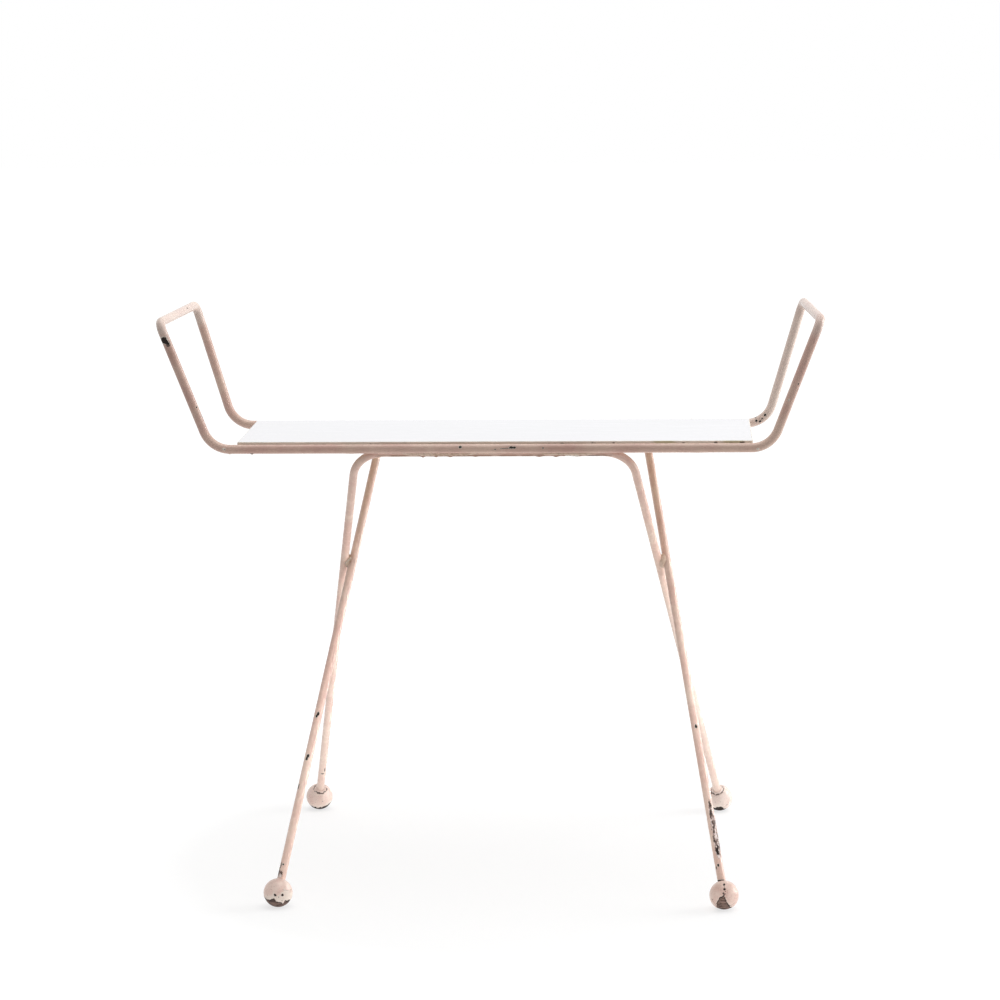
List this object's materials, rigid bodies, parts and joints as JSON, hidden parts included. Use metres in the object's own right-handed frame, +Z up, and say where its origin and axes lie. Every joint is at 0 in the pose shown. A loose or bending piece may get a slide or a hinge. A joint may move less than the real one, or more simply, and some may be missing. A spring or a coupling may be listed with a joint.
{
  "type": "flower cart stand",
  "caption": "Long low plant stand of bent steel rod with a handle at each end, crossed splayed legs on wooden balls and a loose white panel top.",
  "frame": {"origin": "on the floor, under the middle of the tray frame", "axes": "+X along the rails, to the right in the picture; +Y from the front rail to the rear rail, away from the viewer; +Z up"},
  "size_m": [0.7086, 0.415, 0.615],
  "materials": {
    "rod_paint": "aged cream-pink gloss enamel on steel rod",
    "weld_paint": "the same enamel, thick and dull over welds",
    "panel_glass": "opaque white glass with a ground greenish edge",
    "ball_wood": "turned wood, painted cream-pink, worn to dark bare wood underneath"
  },
  "bodies": {
    "stand": {"tray_frame": "rod_paint", "frame_butt_weld": "weld_paint", "front_leg_rod": "rod_paint", "rear_leg_rod": "rod_paint", "front_rail_weld_long": "weld_paint", "front_rail_weld_short": "weld_paint", "rear_rail_weld_long": "weld_paint", "rear_rail_weld_short": "weld_paint", "left_crossing_weld": "weld_paint", "right_crossing_weld": "weld_paint", "front_left_ball": "ball_wood", "front_right_ball": "ball_wood", "rear_left_ball": "ball_wood", "rear_right_ball": "ball_wood"},
    "panel": {"top_panel": "panel_glass"}
  },
  "joints": [
    {"name": "panel_lift", "type": "slide", "parent": "stand", "child": "panel", "axis": [0, 0, 1], "range_m": [0, 0.15]}
  ]
}
